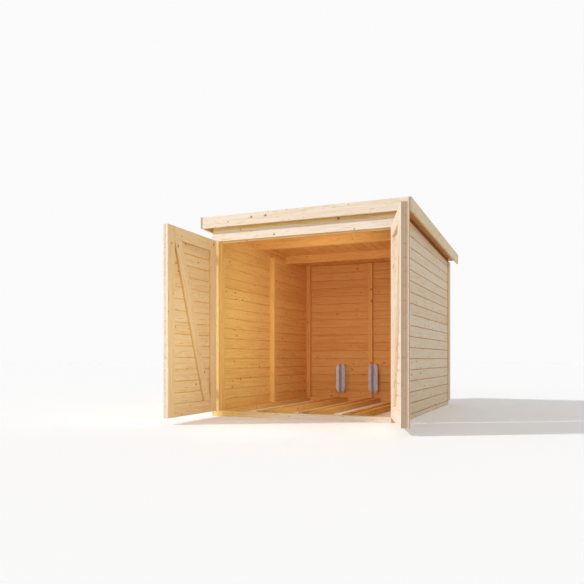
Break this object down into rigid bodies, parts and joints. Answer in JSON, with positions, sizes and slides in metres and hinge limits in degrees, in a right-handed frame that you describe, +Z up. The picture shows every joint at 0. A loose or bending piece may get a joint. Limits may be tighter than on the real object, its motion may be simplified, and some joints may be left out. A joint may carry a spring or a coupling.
{
  "type": "timber bike shelter",
  "caption": "Low timber bike shelter with a gently sloping roof, open double doors, wheel tracks on the ground and wheel holders on the back wall.",
  "frame": {"origin": "on the ground under the middle of the front sill, in the plane of the front frame's face", "axes": "+Z up, +Y from the doors to the back wall, +X to the right as seen from the front"},
  "size_m": [1.9396, 3.0206, 1.6623],
  "materials": {
    "timber": "planed softwood, untreated",
    "galvanised": "galvanised, satin",
    "roof_felt": "mineral roofing felt, matt"
  },
  "bodies": {
    "shelter": {"back_sole_plate": "timber", "back_stud": "timber", "back_wall": "timber", "front_fascia": "timber", "front_header": "timber", "front_lintel": "timber", "front_purlin": "timber", "front_sill": "timber", "front_top_plate": "timber", "head_stop": "timber", "left_bargeboard": "timber", "left_corner_trim": "timber", "left_front_post": "timber", "left_hinge_plates": "galvanised", "left_jamb": "timber", "left_rear_post": "timber", "left_sole_plate": "timber", "left_stud": "timber", "left_wall": "timber", "left_wall_batten": "timber", "left_wheel_holder": "galvanised", "left_wheel_track": "timber", "middle_wheel_holder": "galvanised", "middle_wheel_track": "timber", "rear_fascia": "timber", "rear_purlin": "timber", "right_bargeboard": "timber", "right_corner_trim": "timber", "right_front_post": "timber", "right_hinge_plates": "galvanised", "right_jamb": "timber", "right_rear_post": "timber", "right_sole_plate": "timber", "right_stud": "timber", "right_wall": "timber", "right_wall_batten": "timber", "right_wheel_holder": "galvanised", "right_wheel_track": "timber", "roof_deck": "timber", "roof_felt": "roof_felt"},
    "left_door": {"left_leaf_boards": "timber", "left_leaf_stiles": "timber", "left_leaf_rails": "timber", "left_leaf_brace": "timber", "left_leaf_straps": "galvanised", "hasp": "galvanised"},
    "right_door": {"right_leaf_boards": "timber", "right_leaf_stiles": "timber", "right_leaf_rails": "timber", "right_leaf_brace": "timber", "right_leaf_straps": "galvanised", "meeting_strip": "timber", "staple": "galvanised"}
  },
  "joints": [
    {"name": "left_door_hinge", "type": "hinge", "parent": "shelter", "child": "left_door", "pos_m": [-0.7725, -0.011, 0], "axis": [0, 0, 1], "range_deg": [-86, 88.6]},
    {"name": "right_door_hinge", "type": "hinge", "parent": "shelter", "child": "right_door", "pos_m": [0.7725, -0.011, 0], "axis": [0, 0, 1], "range_deg": [-109.1, 65]}
  ]
}
